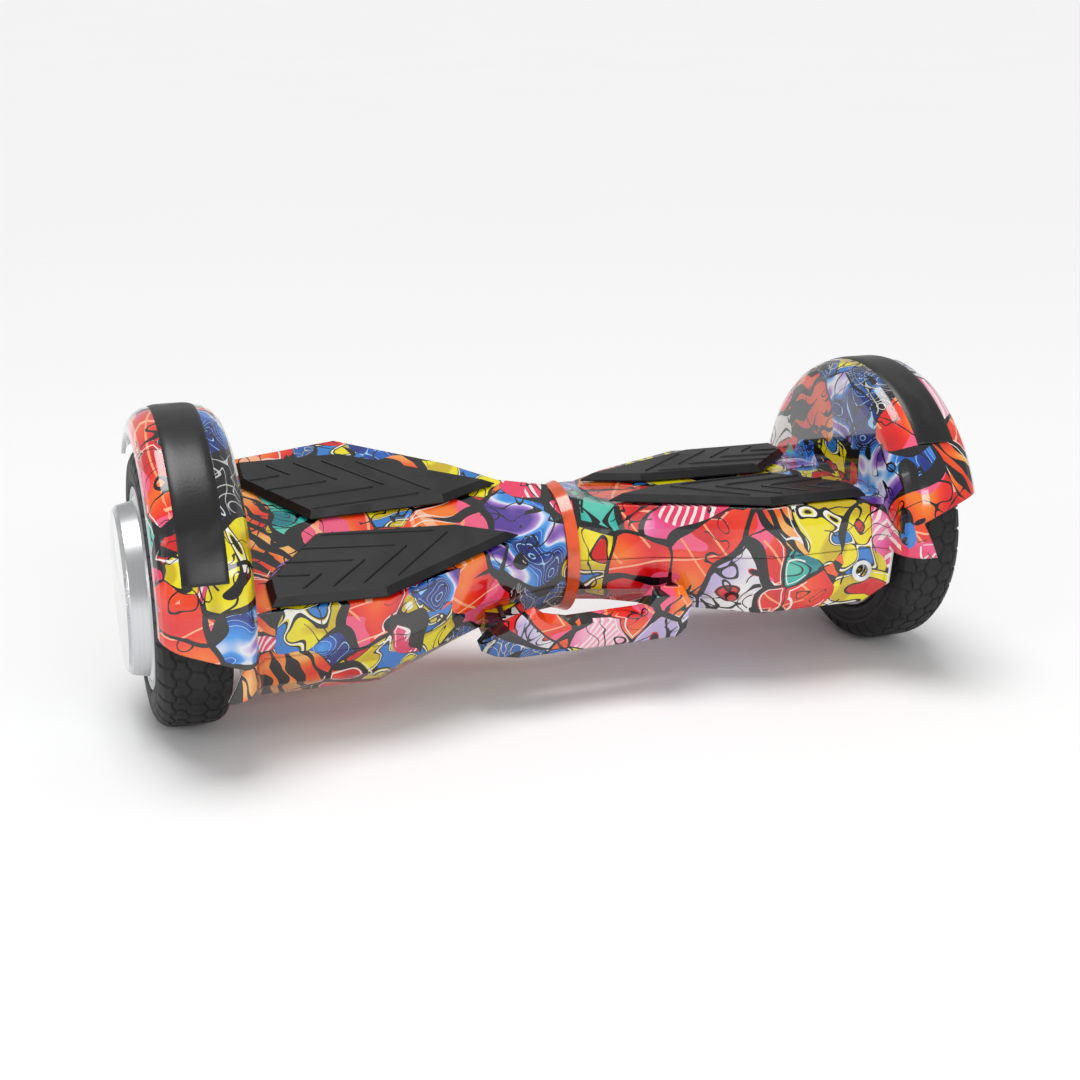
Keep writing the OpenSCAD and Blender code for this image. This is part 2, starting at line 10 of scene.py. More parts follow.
import bpy
import numpy as np
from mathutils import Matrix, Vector


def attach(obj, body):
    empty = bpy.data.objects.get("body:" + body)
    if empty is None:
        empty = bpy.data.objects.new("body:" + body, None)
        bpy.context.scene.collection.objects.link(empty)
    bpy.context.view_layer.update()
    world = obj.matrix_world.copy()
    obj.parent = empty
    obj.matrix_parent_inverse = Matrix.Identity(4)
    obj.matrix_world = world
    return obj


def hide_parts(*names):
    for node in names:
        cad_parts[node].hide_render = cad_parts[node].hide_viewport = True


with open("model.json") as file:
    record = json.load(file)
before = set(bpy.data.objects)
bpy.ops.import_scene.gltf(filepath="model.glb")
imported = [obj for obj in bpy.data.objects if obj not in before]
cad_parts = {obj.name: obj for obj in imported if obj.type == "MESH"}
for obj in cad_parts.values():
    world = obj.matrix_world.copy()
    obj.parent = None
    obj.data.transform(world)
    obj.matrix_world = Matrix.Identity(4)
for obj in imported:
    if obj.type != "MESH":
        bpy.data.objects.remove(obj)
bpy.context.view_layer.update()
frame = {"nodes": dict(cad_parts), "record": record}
LOG = logging.getLogger("board")
MM = 0.001
AXLE_HEIGHT = 0.1

Colour = tuple[float, float, float]


# ------------------------------------------------------------------ shader writing


class Value:
    """A float socket that Python arithmetic turns into Math nodes."""

    def __init__(self, graph: "Graph", socket: Any) -> None:
        """Wraps a socket.

        Args:
            graph: The graph that the socket belongs to.
            socket: The output socket.
        """
        self.graph = graph
        self.socket = socket

    def _math(self, operation: str, *inputs: Any) -> "Value":
        """Adds one Math node.

        Args:
            operation: The node's operation.
            inputs: Numbers or values, in the order of the node's sockets.

        Returns:
            The node's result.
        """
        node = self.graph.node("ShaderNodeMath", {"operation": operation}, dict(enumerate(inputs)))
        return Value(self.graph, node.outputs[0])

    def __add__(self, other: Any) -> "Value":
        """Sum."""
        return self._math("ADD", self, other)

    def __radd__(self, other: Any) -> "Value":
        """Sum with a number on the left."""
        return self._math("ADD", other, self)

    def __sub__(self, other: Any) -> "Value":
        """Difference."""
        return self._math("SUBTRACT", self, other)

    def __rsub__(self, other: Any) -> "Value":
        """Difference from a number on the left."""
        return self._math("SUBTRACT", other, self)

    def __mul__(self, other: Any) -> "Value":
        """Product, which is also how two masks are joined by and."""
        return self._math("MULTIPLY", self, other)

    def __rmul__(self, other: Any) -> "Value":
        """Product with a number on the left."""
        return self._math("MULTIPLY", other, self)

    def __truediv__(self, other: Any) -> "Value":
        """Quotient."""
        return self._math("DIVIDE", self, other)

    def __mod__(self, other: float) -> "Value":
        """Remainder, kept positive."""
        return self._math("FLOORED_MODULO", self, other)

    def __abs__(self) -> "Value":
        """Size without its sign."""
        return self._math("ABSOLUTE", self)

    def __lt__(self, other: Any) -> "Value":
        """One where this is below the other."""
        return self._math("LESS_THAN", self, other)

    def __gt__(self, other: Any) -> "Value":
        """One where this is above the other."""
        return self._math("GREATER_THAN", self, other)

    def __or__(self, other: Any) -> "Value":
        """The larger of two masks."""
        return self._math("MAXIMUM", self, other)

    def root(self) -> "Value":
        """Square root."""
        return self._math("SQRT", self)

    def clamped(self) -> "Value":
        """This, kept between 0 and 1."""
        return self._math("MINIMUM", self._math("MAXIMUM", self, 0.0), 1.0)

    def near(self, middle: float, width: float) -> "Value":
        """One within a width of a middle value."""
        return self._math("COMPARE", self, middle, width)

    def between(self, low: float, high: float) -> "Value":
        """One between two values."""
        return self.near((low + high) / 2, (high - low) / 2)

    def ramp(self, low: float, high: float) -> "Value":
        """Rises smoothly from 0 to 1 between two values."""
        node = self.graph.node(
            "ShaderNodeMapRange",
            {"interpolation_type": "SMOOTHSTEP"},
            {0: self, 1: low, 2: high, 3: 0.0, 4: 1.0},
        )
        return Value(self.graph, node.outputs[0])


class Graph:
    """One material and the nodes in it."""

    def __init__(self, name: str) -> None:
        """Starts an empty material.

        Args:
            name: The material's name.
        """
        self.material = bpy.data.materials.new(name)
        self.material.use_nodes = True
        self.tree = self.material.node_tree
        self.tree.nodes.clear()
        self.output = self.tree.nodes.new("ShaderNodeOutputMaterial")
        coords = self.tree.nodes.new("ShaderNodeTexCoord")
        self.place = coords.outputs["Object"]

    def node(self, kind: str, settings: dict[str, Any], inputs: dict[Any, Any]) -> Any:
        """Adds a node.

        Args:
            kind: The node's type.
            settings: Its settings, set first. A ramp's are under "stops".
            inputs: Values or links by socket name or number.

        Returns:
            The node.
        """
        node = self.tree.nodes.new(kind)
        for key, value in settings.items():
            if key == "stops":
                self._stops(node.color_ramp, value)
            else:
                setattr(node, key, value)
        for key, value in inputs.items():
            source = value.socket if isinstance(value, Value) else value
            if isinstance(source, bpy.types.NodeSocket):
                self.tree.links.new(source, node.inputs[key])
            else:
                node.inputs[key].default_value = source
        return node

    @staticmethod
    def _stops(ramp: Any, stops: Sequence[tuple[float, Colour]]) -> None:
        """Sets a ramp's stops.

        Args:
            ramp: The colour ramp.
            stops: Places and colours in rising order.
        """
        while len(ramp.elements) < len(stops):
            ramp.elements.new(1.0)
        for element, (place, colour) in zip(ramp.elements, stops):
            element.position = place
            element.color = (*colour, 1.0)

    def noise(self, scale: float, detail: float = 2.0, warp: float = 0.0, at: Any = None) -> Value:
        """Fractal noise about 0.5.

        Args:
            scale: Cells in a metre.
            detail: Octaves.
            warp: Distortion of the noise by itself.
            at: Place to read, or None for the object's own coordinates.

        Returns:
            The noise.
        """
        node = self.node(
            "ShaderNodeTexNoise", {},
            {"Vector": at or self.place, "Scale": scale, "Detail": detail, "Distortion": warp},
        )
        return Value(self, node.outputs[0])

    def cells(
        self, scale: float, at: Any, feature: str = "F1", metric: str = "EUCLIDEAN"
    ) -> tuple[Value, Any]:
        """Voronoi cells.

        Args:
            scale: Cells in a metre.
            at: Place to read.
            feature: Which distance the node gives.
            metric: How it measures distance.

        Returns:
            The distance, and the cell's random colour.
        """
        settings = {"feature": feature}
        if feature != "DISTANCE_TO_EDGE":
            settings["distance"] = metric
        node = self.node("ShaderNodeTexVoronoi", settings, {"Vector": at, "Scale": scale})
        if feature == "DISTANCE_TO_EDGE":
            return Value(self, node.outputs["Distance"]), None
        return Value(self, node.outputs["Distance"]), node.outputs["Color"]

    def split(self, vector: Any) -> tuple[Value, Value, Value]:
        """The three parts of a vector or colour."""
        node = self.node("ShaderNodeSeparateXYZ", {}, {0: vector})
        return Value(self, node.outputs[0]), Value(self, node.outputs[1]), Value(self, node.outputs[2])

    def moved(self, amount: float, scale: float, stretch: Colour = (1, 1, 1)) -> Any:
        """The object's coordinates, pushed about by noise.

        Args:
            amount: Greatest push, in metres.
            scale: Scale of the noise.
            stretch: Factors on the three axes.

        Returns:
            The pushed vector.
        """
        noise = self.node("ShaderNodeTexNoise", {}, {"Vector": self.place, "Scale": scale, "Detail": 1.0})
        centred = self._vector("SUBTRACT", {0: noise.outputs[1], 1: (0.5, 0.5, 0.5)})
        push = self._vector("SCALE", {0: centred, "Scale": 2 * amount})
        added = self._vector("ADD", {0: self.place, 1: push})
        return self._vector("MULTIPLY", {0: added, 1: stretch})

    def _vector(self, operation: str, inputs: dict[Any, Any]) -> Any:
        """One Vector Math node's result.

        Args:
            operation: The node's operation.
            inputs: Values or links by socket name or number.

        Returns:
            The result's socket.
        """
        return self.node("ShaderNodeVectorMath", {"operation": operation}, inputs).outputs[0]

    def mix(self, under: Any, over: Any, factor: Any) -> Any:
        """Lays one colour over another.

        Args:
            under: Colour or link beneath.
            over: Colour or link above.
            factor: Value or number, how much of the upper shows.

        Returns:
            The mixed colour's socket.
        """
        colours = [(*c, 1.0) if isinstance(c, tuple) else c for c in (under, over)]
        node = self.node("ShaderNodeMix", {"data_type": "RGBA"}, {0: factor, 6: colours[0], 7: colours[1]})
        return node.outputs[2]

    def gradient(self, value: Value, stops: Sequence[tuple[float, Colour]]) -> Any:
        """A colour ramp on a value."""
        return self.node("ShaderNodeValToRGB", {"stops": stops}, {0: value}).outputs[0]

    def bump(self, height: Value, depth: float, strength: float = 1.0) -> Any:
        """A Bump node's normal.

        Args:
            height: Height between 0 and 1.
            depth: What a height of 1 stands for, in metres.
            strength: How strongly it shows.

        Returns:
            The normal's socket.
        """
        inputs = {"Height": height, "Distance": depth, "Strength": strength}
        return self.node("ShaderNodeBump", {}, inputs).outputs[0]

    def finish(self, inputs: dict[str, Any]) -> bpy.types.Material:
        """Ends the graph in one Principled shader.

        Args:
            inputs: Its sockets' values or links.

        Returns:
            The material.
        """
        ready = {k: (*v, 1.0) if isinstance(v, tuple) and len(v) == 3 else v for k, v in inputs.items()}
        shader = self.node("ShaderNodeBsdfPrincipled", {}, ready)
        self.tree.links.new(shader.outputs[0], self.output.inputs[0])
        return self.material


# ------------------------------------------------------------------ finishes


class Motif(Enum):
    """The drawings over the print's red ground, with where each starts on the cells' random scale."""

    YELLOW = 0.27
    BLUE = 0.47
    SCRIBBLE = 0.60
    TIGER = 0.70
    HATCH = 0.80
    TEAL = 0.87
    WHITE = 0.94


@dataclass(frozen=True)
class PrintedShell:
    """White plastic dipped in a loud printed film of paint blobs, outlines and scribbles, under gloss."""

    name: str = "printed_shell"
    cell: float = 23.0
    warp: float = 0.027
    red_pull: float = 0.0
    gloss: float = 0.14
    edge_radius: float = 0.0022
    black: Colour = (0.004, 0.004, 0.006)
    band: tuple[float, float] = (0.2582, 0.2882)
    band_radius: float = 0.1255
    inner_arc: tuple[float, float] = (0.0169, 0.019)
    outer_arc: tuple[float, float] = (0.0147, 0.0155)
    wall_start: float = 0.2413

    def _red(self, g: Graph) -> Any:
        """Red and orange blocks with thin peach lines and small dark boxes."""
        base = g.gradient(g.noise(21, 0.6), [
            (0.38, (0.62, 0.004, 0.008)), (0.47, (0.8, 0.012, 0.008)),
            (0.55, (0.9, 0.055, 0.006)), (0.64, (0.93, 0.2, 0.01))])
        pink = g.mix(base, (0.88, 0.1, 0.22), g.noise(26, 0.0, 0.6) > 0.6)
        x, y, z = g.split(g.moved(0.010, 16))
        rays = ((x * 0.9 + z * 0.8 - y * 0.4) * 34.0) % 1.0
        lined = g.mix(pink, (0.98, 0.36, 0.16), rays.near(0.5, 0.035) * (g.noise(18, 0.0) > 0.44))
        other = ((x * 0.35 - z * 1.1 + y * 0.6) * 29.0) % 1.0
        lined = g.mix(lined, (0.98, 0.46, 0.26), other.near(0.5, 0.022) * (g.noise(14, 0.0) < 0.52))
        box, shade = g.cells(34, g.moved(0.004, 20, (0.8, 1.6, 1.9)), "F1", "CHEBYCHEV")
        pick = g.split(shade)[0] > 0.7
        rim = g.mix(lined, (0.97, 0.42, 0.3), (box < 0.2) * pick)
        return g.mix(rim, (0.16, 0.004, 0.02), (box < 0.16) * pick)

    def _yellow(self, g: Graph) -> Any:
        """Yellow blobs with black contours, red cores and white edges."""
        wave = g.noise(26, 0.0, 1.3)
        shade = g.gradient(g.noise(40, 0.0), [(0.42, (0.62, 0.46, 0.0)), (0.5, (0.88, 0.76, 0.0))])
        base = g.mix(shade, (0.66, 0.008, 0.008), wave > 0.64)
        lit = g.mix(base, (0.93, 0.92, 0.8), wave.between(0.33, 0.355))
        cool = g.mix(lit, (0.02, 0.2, 0.62), wave < 0.315)
        inked = wave.near(0.64, 0.016) | wave.near(0.365, 0.013) | wave.near(0.31, 0.01)
        fine = g.noise(31, 0.0, 0.9).near(0.5, 0.011) * (g.noise(24, 0.0) > 0.47)
        return g.mix(cool, self.black, inked | fine)

    def _blue(self, g: Graph) -> Any:
        """Airbrushed blue, white and violet with a fine pale swirl and dark contours."""
        wave = g.noise(29, 0.0, 0.9)
        base = g.gradient(wave, [
            (0.34, (0.004, 0.02, 0.2)), (0.43, (0.008, 0.12, 0.55)), (0.5, (0.05, 0.32, 0.8)),
            (0.55, (0.82, 0.84, 0.9)), (0.61, (0.4, 0.2, 0.62)), (0.7, (0.08, 0.03, 0.3))])
        swirl = (wave * 17.0) % 1.0
        pale = g.mix(base, (0.35, 0.66, 0.93), swirl.near(0.5, 0.05) * (wave < 0.48))
        return g.mix(pale, self.black, g.noise(23, 0.0, 1.4).near(0.5, 0.013))

    def _scribble(self, g: Graph) -> Any:
        """Near-black and blue ground with grey-white hand-drawn loops."""
        loops = (g.noise(19, 0.0, 1.8) * 11.0) % 1.0
        more = (g.noise(27, 0.0, 2.4, g.moved(0.004, 15)) * 5.0) % 1.0
        ground = g.gradient(g.noise(24, 0.6), [
            (0.46, (0.006, 0.006, 0.01)), (0.5, (0.012, 0.03, 0.09)), (0.57, (0.015, 0.11, 0.4))])
        inked = g.mix(ground, self.black, loops.near(0.5, 0.16))
        lined = g.mix(inked, (0.5, 0.5, 0.48), loops.near(0.5, 0.06))
        return g.mix(lined, (0.7, 0.7, 0.68), more.near(0.4, 0.035))

    def _tiger(self, g: Graph) -> Any:
        """Orange to pale gold with tapering black stripes."""
        wave = g.noise(22, 1.0, 0.4)
        base = g.gradient(wave, [
            (0.38, (0.8, 0.03, 0.004)), (0.5, (0.9, 0.15, 0.006)), (0.62, (0.94, 0.48, 0.12))])
        x, y, z = g.split(g.moved(0.011, 30))
        stripes = ((x * 1.0 + y * 0.5 + z * 0.9) * 74.0) % 1.0
        width = g.noise(36, 0.0) * 0.8 - 0.17
        return g.mix(base, self.black, abs(stripes - 0.5) < width)

    def _hatch(self, g: Graph) -> Any:
        """Pink ground with short pale hatching."""
        x, y, z = g.split(g.moved(0.003, 40))
        strokes = ((x - z * 0.6 + y * 0.3) * 190.0) % 1.0
        base = g.gradient(g.noise(18, 0.0), [
            (0.42, (0.82, 0.03, 0.12)), (0.5, (0.85, 0.12, 0.36)), (0.6, (0.9, 0.4, 0.55))])
        return g.mix(base, (0.93, 0.8, 0.78), (strokes < 0.4) * (g.noise(40, 0.0) > 0.48))

    def _teal(self, g: Graph) -> Any:
        """Teal and green shapes with black contours."""
        wave = g.noise(24, 0.0, 0.8)
        base = g.gradient(wave, [
            (0.4, (0.0, 0.2, 0.24)), (0.5, (0.01, 0.42, 0.36)), (0.6, (0.1, 0.55, 0.42))])
        return g.mix(base, self.black, wave.near(0.47, 0.014) | wave.near(0.56, 0.01))

    def _white(self, g: Graph) -> Any:
        """Bare white with black strokes and violet shading."""
        wave = g.noise(25, 0.0, 1.0)
        base = g.gradient(g.noise(18, 0.0), [(0.45, (0.84, 0.83, 0.8)), (0.58, (0.5, 0.42, 0.68))])
        strokes = (wave * 7.0) % 1.0
        return g.mix(g.mix(base, (0.72, 0.02, 0.02), wave > 0.62), self.black, strokes.near(0.5, 0.11))

    def colour(self, g: Graph) -> Any:
        """The whole printed pattern.

        Args:
            g: The graph to draw in.

        Returns:
            The colour's socket.
        """
        place = g.moved(self.warp, 17, (1.0, 0.8, 1.0))
        _, random = g.cells(self.cell, place)
        edge, _ = g.cells(self.cell, place, "DISTANCE_TO_EDGE")
        x, _, _ = g.split(g.place)
        pull = (1.0 - x.ramp(-0.16, 0.0)) * 0.06 + self.red_pull
        pick = g.split(random)[0] - pull
        drawings = {
            Motif.YELLOW: self._yellow, Motif.BLUE: self._blue, Motif.SCRIBBLE: self._scribble,
            Motif.TIGER: self._tiger, Motif.HATCH: self._hatch, Motif.TEAL: self._teal,
            Motif.WHITE: self._white,
        }
        colour = self._red(g)
        for motif, draw in drawings.items():
            colour = g.mix(colour, draw(g), pick > motif.value)
        ink = g.noise(26, 0.0)
        outline = edge < (ink * 0.22 - 0.075)
        pale = edge.between(0.045, 0.06) * (g.noise(11, 0.0) > 0.56)
        brush = g.noise(34, 0.0, 1.5, g.moved(0.004, 21)).near(0.53, 0.02) * (g.noise(15, 0.0) > 0.49)
        return g.mix(g.mix(colour, (0.85, 0.84, 0.8), pale), self.black, outline | brush)

    def bare(self, g: Graph) -> Value:
        """One on the unprinted inner side of the fenders and end walls.

        The printed and the bare side part along the middle of the wall: a flat, then a quarter ellipse of
        16.9 by 19 mm up to the band at 125.5 mm radius, and one of 14.7 by 15.5 mm down to the lip.

        Args:
            g: The graph to draw in.

        Returns:
            The mask.
        """
        x, y, z = g.split(g.place)
        up = z - AXLE_HEIGHT
        radius = (y * y + up * up).root()
        out = abs(x)
        inner = ((self.band[0] - out) / self.inner_arc[0]).clamped()
        outer = ((out - self.band[1]) / self.outer_arc[0]).clamped()
        inner_drop = (1.0 - (1.0 - inner * inner).root()) * self.inner_arc[1]
        outer_drop = (1.0 - (1.0 - outer * outer).root()) * self.outer_arc[1]
        return (radius < self.band_radius - inner_drop - outer_drop) * (out > self.wall_start)

    def material(self) -> bpy.types.Material:
        """The finished material."""
        g = Graph(self.name)
        soft = g.node("ShaderNodeBevel", {"samples": 4}, {"Radius": self.edge_radius}).outputs[0]
        ripple = {"Height": g.noise(120, 1.0), "Distance": 0.0001, "Normal": soft}
        normal = g.node("ShaderNodeBump", {}, ripple).outputs[0]
        return g.finish({
            "Base Color": g.mix(self.colour(g), (0.82, 0.82, 0.8), self.bare(g)), "Roughness": self.gloss,
            "Coat Weight": 1.0, "Coat Roughness": 0.04, "Normal": normal,
        })


@dataclass(frozen=True)
class Rubber:
    """Black rubber with a fine grain and dusty scuffs."""

    name: str
    colour: Colour = (0.012, 0.012, 0.013)
    scuffed: Colour = (0.03, 0.03, 0.032)
    roughness: float = 0.55
    grain: float = 900.0
    grain_depth: float = 0.00008
    specular: float = 0.35

    def material(self) -> bpy.types.Material:
        """The finished material."""
        g = Graph(self.name)
        scuffs = g.noise(28, 4.0, 0.4).ramp(0.45, 0.72)
        return g.finish({
            "Base Color": g.mix(self.colour, self.scuffed, scuffs),
            "Roughness": scuffs * 0.14 + (self.roughness - 0.05), "Specular IOR Level": self.specular,
            "Normal": g.bump(g.noise(self.grain, 2.0), self.grain_depth),
        })


@dataclass(frozen=True)
class Metal:
    """Metal with fine wear: cast, ground, plated or turned."""

    name: str
    colour: Colour
    roughness: float = 0.3
    grain: float = 500.0
    grain_depth: float = 0.00005
    metallic: float = 1.0

    def material(self) -> bpy.types.Material:
        """The finished material."""
        g = Graph(self.name)
        tone = g.noise(45, 3.0)
        darker = tuple(c * 0.72 for c in self.colour)
        return g.finish({
            "Base Color": g.mix(darker, self.colour, tone.ramp(0.35, 0.6)),
            "Metallic": self.metallic,
            "Roughness": tone * 0.2 + (self.roughness - 0.1),
            "Normal": g.bump(g.noise(self.grain, 2.0), self.grain_depth),
        })


@dataclass(frozen=True)
class TurnedCap:
    """Turned aluminium with lathe rings, under a crinkled clear film."""

    name: str = "hub_aluminium"
    colour: Colour = (0.68, 0.69, 0.7)
    film_radius: float = 0.06

    def material(self) -> bpy.types.Material:
        """The finished material."""
        g = Graph(self.name)
        _, y, z = g.split(g.place)
        up = z - AXLE_HEIGHT
        radius = (y * y + up * up).root()
        rings = ((radius * 1400.0) % 1.0).ramp(0.0, 1.0)
        film = 1.0 - radius.ramp(self.film_radius - 0.002, self.film_radius)
        creases = abs(g.noise(30, 3.0, 1.5) - 0.5) * 6.0
        height = rings * 0.05 * (1.0 - film) + creases * film
        tint = g.gradient(g.noise(13, 2.0, 1.0), [
            (0.4, (0.45, 0.47, 0.5)), (0.52, self.colour), (0.62, (0.85, 0.86, 0.88))])
        return g.finish({
            "Base Color": g.mix(self.colour, tint, film),
            "Metallic": 1.0 - film * 0.25,
            "Roughness": 0.3 - film * 0.12,
            "Coat Weight": film * 0.9,
            "Coat Roughness": 0.06,
            "Normal": g.bump(height, 0.0009, 0.8),
        })


@dataclass(frozen=True)
class Plastic:
    """Moulded plastic with a faint grain and tone."""

    name: str
    colour: Colour
    roughness: float = 0.4
    coat: float = 0.0
    grain: float = 700.0

    def material(self) -> bpy.types.Material:
        """The finished material."""
        g = Graph(self.name)
        tone = g.noise(60, 3.0)
        darker = tuple(c * 0.7 for c in self.colour)
        return g.finish({
            "Base Color": g.mix(darker, self.colour, tone.ramp(0.3, 0.6)),
            "Roughness": tone * 0.15 + (self.roughness - 0.07),
            "Coat Weight": self.coat,
            "Normal": g.bump(g.noise(self.grain, 2.0), 0.00004),
        })


@dataclass(frozen=True)
class CircuitBoard:
    """Green solder mask with copper tracks under it."""

    name: str = "circuit_board"

    def material(self) -> bpy.types.Material:
        """The finished material."""
        g = Graph(self.name)
        edge, _ = g.cells(220, g.place, "DISTANCE_TO_EDGE")
        tracks = edge < 0.06
        return g.finish({
            "Base Color": g.mix((0.008, 0.1, 0.035), (0.03, 0.24, 0.08), tracks),
            "Roughness": 0.35, "Normal": g.bump(tracks, 0.00005),
        })


@dataclass(frozen=True)
class CopperWire:
    """Enamelled wire laid in close turns, with painted shade darkening the grooves between turns and a
    painted highlight lightening their crests.
    """

    name: str = "copper_wire"

    def material(self) -> bpy.types.Material:
        """The finished material."""
        g = Graph(self.name)
        x, _, _ = g.split(g.place)
        turns = abs(((x * 1100.0) % 1.0) - 0.5) * 2.0
        return g.finish({
            # Painted shade and highlight: the colour goes dark in the grooves between turns and light on the
            # crests, following the bump's height.
            "Base Color": g.mix((0.2, 0.05, 0.015), (0.7, 0.28, 0.08), turns.ramp(0.1, 0.9)),
            "Metallic": 0.9, "Roughness": 0.32, "Normal": g.bump(turns, 0.0003),
        })


FINISHES: tuple[Any, ...] = (
    PrintedShell(),
    Metal("cast_aluminium", (0.55, 0.56, 0.57), 0.42, 260, 0.00015),
    Rubber("bumper_rubber", (0.009, 0.009, 0.01), (0.02, 0.019, 0.02), 0.36, 500, 0.00005, 0.5),
    Rubber("mat_rubber", (0.008, 0.008, 0.009), (0.016, 0.016, 0.018), 0.42, 800, 0.00005),
    Rubber("tyre_rubber", (0.01, 0.01, 0.011), (0.022, 0.022, 0.024), 0.58),
    Metal("dark_screws", (0.12, 0.12, 0.13), 0.38),
    Metal("magnet_steel", (0.6, 0.6, 0.62), 0.25),
    Plastic("core_steel", (0.05, 0.08, 0.09), 0.5),
    CopperWire(),
    Metal("ground_steel", (0.6, 0.6, 0.62), 0.22),
    TurnedCap(),
    CircuitBoard(),
    Plastic("black_plastic", (0.012, 0.012, 0.012), 0.45),
    Metal("bush_bronze", (0.5, 0.32, 0.12), 0.4),
    Plastic("collar_paint", (0.86, 0.1, 0.015), 0.2, 1.0),
    Plastic("battery_wrap", (0.03, 0.14, 0.5), 0.25, 0.6),
    Plastic("strap_fabric", (0.015, 0.015, 0.016), 0.8),
    Metal("bright_ring", (0.8, 0.8, 0.81), 0.16),
    Metal("pin_brass", (0.75, 0.5, 0.15), 0.25),
    Plastic("button_plastic", (0.7, 0.02, 0.02), 0.2, 1.0),
)


class Palette:
    """Builds each finish once and gives it to CAD nodes and new pieces."""

    def __init__(self) -> None:
        """Builds the materials, one for each slot in the record."""
        self.materials = {finish.name: finish.material() for finish in FINISHES}
        handle = PrintedShell("printed_handle", cell=27.0, warp=0.02, red_pull=-0.1)
        self.materials[handle.name] = handle.material()

    def dress_nodes(self) -> None:
        """Puts each CAD node's finish in its material slots."""
        for part in frame["record"]["subparts"]:
            node = frame["nodes"][part["node"]]
            name = "printed_handle" if part["node"] == "carry_handle" else part["material_slot"]
            node.data.materials.clear()
            node.data.materials.append(self.materials[name])
            LOG.info("dressed %s as %s", part["node"], name)

    def dress(self, piece: bpy.types.Object, slot: str) -> None:
        """Gives a new piece a finish and names its slot.

        Args:
            piece: The piece.
            slot: The record's material slot.
        """
        piece.data.materials.append(self.materials[slot])


# ------------------------------------------------------------------ surfaces


def grid_quads(rows: int, cols: int, wrap: tuple[bool, bool]) -> np.ndarray:
    """Lists the quads of a grid of points.

    Quad (i, j) joins the points (i, j), (i + 1, j), (i + 1, j + 1) and (i, j + 1).

    Args:
        rows: Rows of points.
        cols: Columns of points.
        wrap: Whether the rows and the columns close on themselves.

    Returns:
        Four point numbers for each quad.
    """
    steps = np.arange(rows if wrap[0] else rows - 1), np.arange(cols if wrap[1] else cols - 1)
    i, j = np.meshgrid(*steps, indexing="ij")
    after, side = (i + 1) % rows, (j + 1) % cols
    corners = [i * cols + j, after * cols + j, after * cols + side, i * cols + side]
    return np.stack(corners, axis=-1).reshape(-1, 4)


def surface(name: str, points: np.ndarray, wrap: tuple[bool, bool], flip: bool = False) -> bpy.types.Object:
    """Makes a mesh of quads over a grid of points.

    Args:
        name: The piece's name.
        points: Points as an array of rows, columns and 3.
        wrap: Whether the rows and the columns close on themselves.
        flip: Whether to turn the faces over.

    Returns:
        The object, at the origin.
    """
    quads = grid_quads(*points.shape[:2], wrap)
    return solid(name, points.reshape(-1, 3), quads[:, ::-1] if flip else quads)


def solid(name: str, points: np.ndarray, quads: np.ndarray) -> bpy.types.Object:
    """Makes a smooth-shaded object from points and quads.

    Args:
        name: The piece's name.
        points: Points, in metres.
        quads: Four point numbers for each face.

    Returns:
        The object, at the origin.
    """
    mesh = bpy.data.meshes.new(name)
    mesh.from_pydata(points.tolist(), [], quads.tolist())
    mesh.polygons.foreach_set("use_smooth", [True] * len(mesh.polygons))
    mesh.update()
    piece = bpy.data.objects.new(name, mesh)
    bpy.context.scene.collection.objects.link(piece)
    return piece


@dataclass(frozen=True)
class Half:
    """One half of the board: its side and its tilt about the axle line."""

    name: str
    sign: float
    tilt: float

    def place(self, points: np.ndarray) -> np.ndarray:
        """Carries points from the half's level frame, in millimetres, to the board's frame in metres.

        The level frame lies on the axle line with +X outboard.

        Args:
            points: Points in the last axis.

        Returns:
            The points turned by the tilt about X, mirrored on the left, and lifted to the axle.
        """
        c, s = math.cos(math.radians(self.tilt)), math.sin(math.radians(self.tilt))
        x, y, z = points[..., 0] * self.sign, points[..., 1], points[..., 2]
        turned = np.stack([x, y * c - z * s, y * s + z * c], axis=-1)
        return turned * MM + np.array([0, 0, AXLE_HEIGHT])

    @property
    def mirrored(self) -> bool:
        """Whether placing turns faces over."""
        return self.sign < 0


def smooth_step(value: np.ndarray, low: float, high: float) -> np.ndarray:
    """Rises from 0 to 1 between two values, as 3t squared less 2t cubed."""
    t = np.clip((value - low) / (high - low), 0, 1)
    return t * t * (3 - 2 * t)


